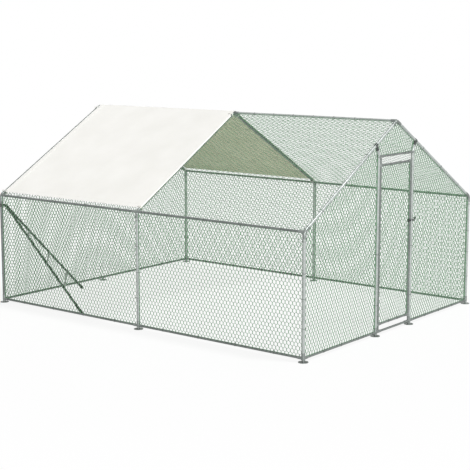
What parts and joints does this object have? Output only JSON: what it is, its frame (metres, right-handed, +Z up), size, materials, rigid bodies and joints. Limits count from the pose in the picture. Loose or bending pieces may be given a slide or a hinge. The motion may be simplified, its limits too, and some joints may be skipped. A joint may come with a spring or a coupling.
{
  "type": "walk-in metal aviary",
  "caption": "Walk-in galvanised tube aviary with a gable roof, hexagonal wire netting, a cover over one bay, a netted hinged door with a latch and a corner perch.",
  "frame": {"origin": "on the ground at the centre of the foot plates' overall rectangle", "axes": "+X along the ridge towards the door gable, +Y to the back, +Z up"},
  "size_m": [4.012, 3.0918, 2.0486],
  "materials": {
    "galvanised_tube": "hot-dip galvanised, dull spangle",
    "zinc_casting": "zinc plated, satin",
    "coated_wire": "grey-green coated wire, satin",
    "tie_wire": "galvanised wire",
    "bright_zinc": "bright zinc plated",
    "black_plastic": "moulded, matte black",
    "white_nylon": "moulded, matte white",
    "cover_fabric": "woven coated sheet, white outside, khaki inside"
  },
  "bodies": {
    "frame": {"post_front_left": "galvanised_tube", "post_front_middle": "galvanised_tube", "post_front_right": "galvanised_tube", "post_back_left": "galvanised_tube", "post_back_middle": "galvanised_tube", "post_back_right": "galvanised_tube", "rafter_front_left": "galvanised_tube", "rafter_front_middle": "galvanised_tube", "rafter_front_right": "galvanised_tube", "rafter_back_left": "galvanised_tube", "rafter_back_middle": "galvanised_tube", "rafter_back_right": "galvanised_tube", "ridge_tubes": "galvanised_tube", "top_rails": "galvanised_tube", "bottom_rails": "galvanised_tube", "left_gable_rails": "galvanised_tube", "right_gable_rails": "galvanised_tube", "door_sill": "galvanised_tube", "door_lintel": "galvanised_tube", "door_post_hinge_side": "galvanised_tube", "door_post_latch_side": "galvanised_tube", "perch_leg_front": "galvanised_tube", "perch_leg_side": "galvanised_tube", "perch_rungs": "galvanised_tube", "eave_corner_elbows": "zinc_casting", "eave_middle_elbows": "zinc_casting", "peak_end_elbows": "zinc_casting", "peak_middle_elbow": "zinc_casting", "corner_feet": "zinc_casting", "middle_feet": "zinc_casting", "door_post_feet": "zinc_casting", "gable_foot": "zinc_casting", "lintel_tees": "zinc_casting", "perch_head": "zinc_casting", "rafter_clamps": "zinc_casting", "perch_end_caps": "black_plastic", "hinge_pins": "bright_zinc", "latch_keeper": "zinc_casting", "frame_screws": "bright_zinc", "front_wall_nets": "coated_wire", "back_wall_nets": "coated_wire", "front_roof_nets": "coated_wire", "back_roof_nets": "coated_wire", "left_gable_net": "coated_wire", "right_gable_nets": "coated_wire", "net_ties": "tie_wire", "roof_cover": "cover_fabric", "cover_ties": "white_nylon"},
    "leaf": {"leaf_hinge_stile": "galvanised_tube", "leaf_latch_stile": "galvanised_tube", "leaf_rails": "galvanised_tube", "leaf_corner_clamps": "zinc_casting", "leaf_net": "coated_wire", "leaf_net_ties": "tie_wire", "hinge_bushes": "black_plastic", "latch_clamp": "zinc_casting", "latch_pivot": "bright_zinc", "leaf_screws": "bright_zinc"},
    "latch": {"latch_bar": "zinc_casting"}
  },
  "joints": [
    {"name": "leaf_hinge", "type": "hinge", "parent": "frame", "child": "leaf", "pos_m": [1.96, -0.275, 0.87], "axis": [0, 0, -1], "range_deg": [0, 110]},
    {"name": "latch_lift", "type": "hinge", "parent": "leaf", "child": "latch", "pos_m": [1.983, 0.275, 1.048], "axis": [1, 0, 0], "range_deg": [0, 90]}
  ]
}
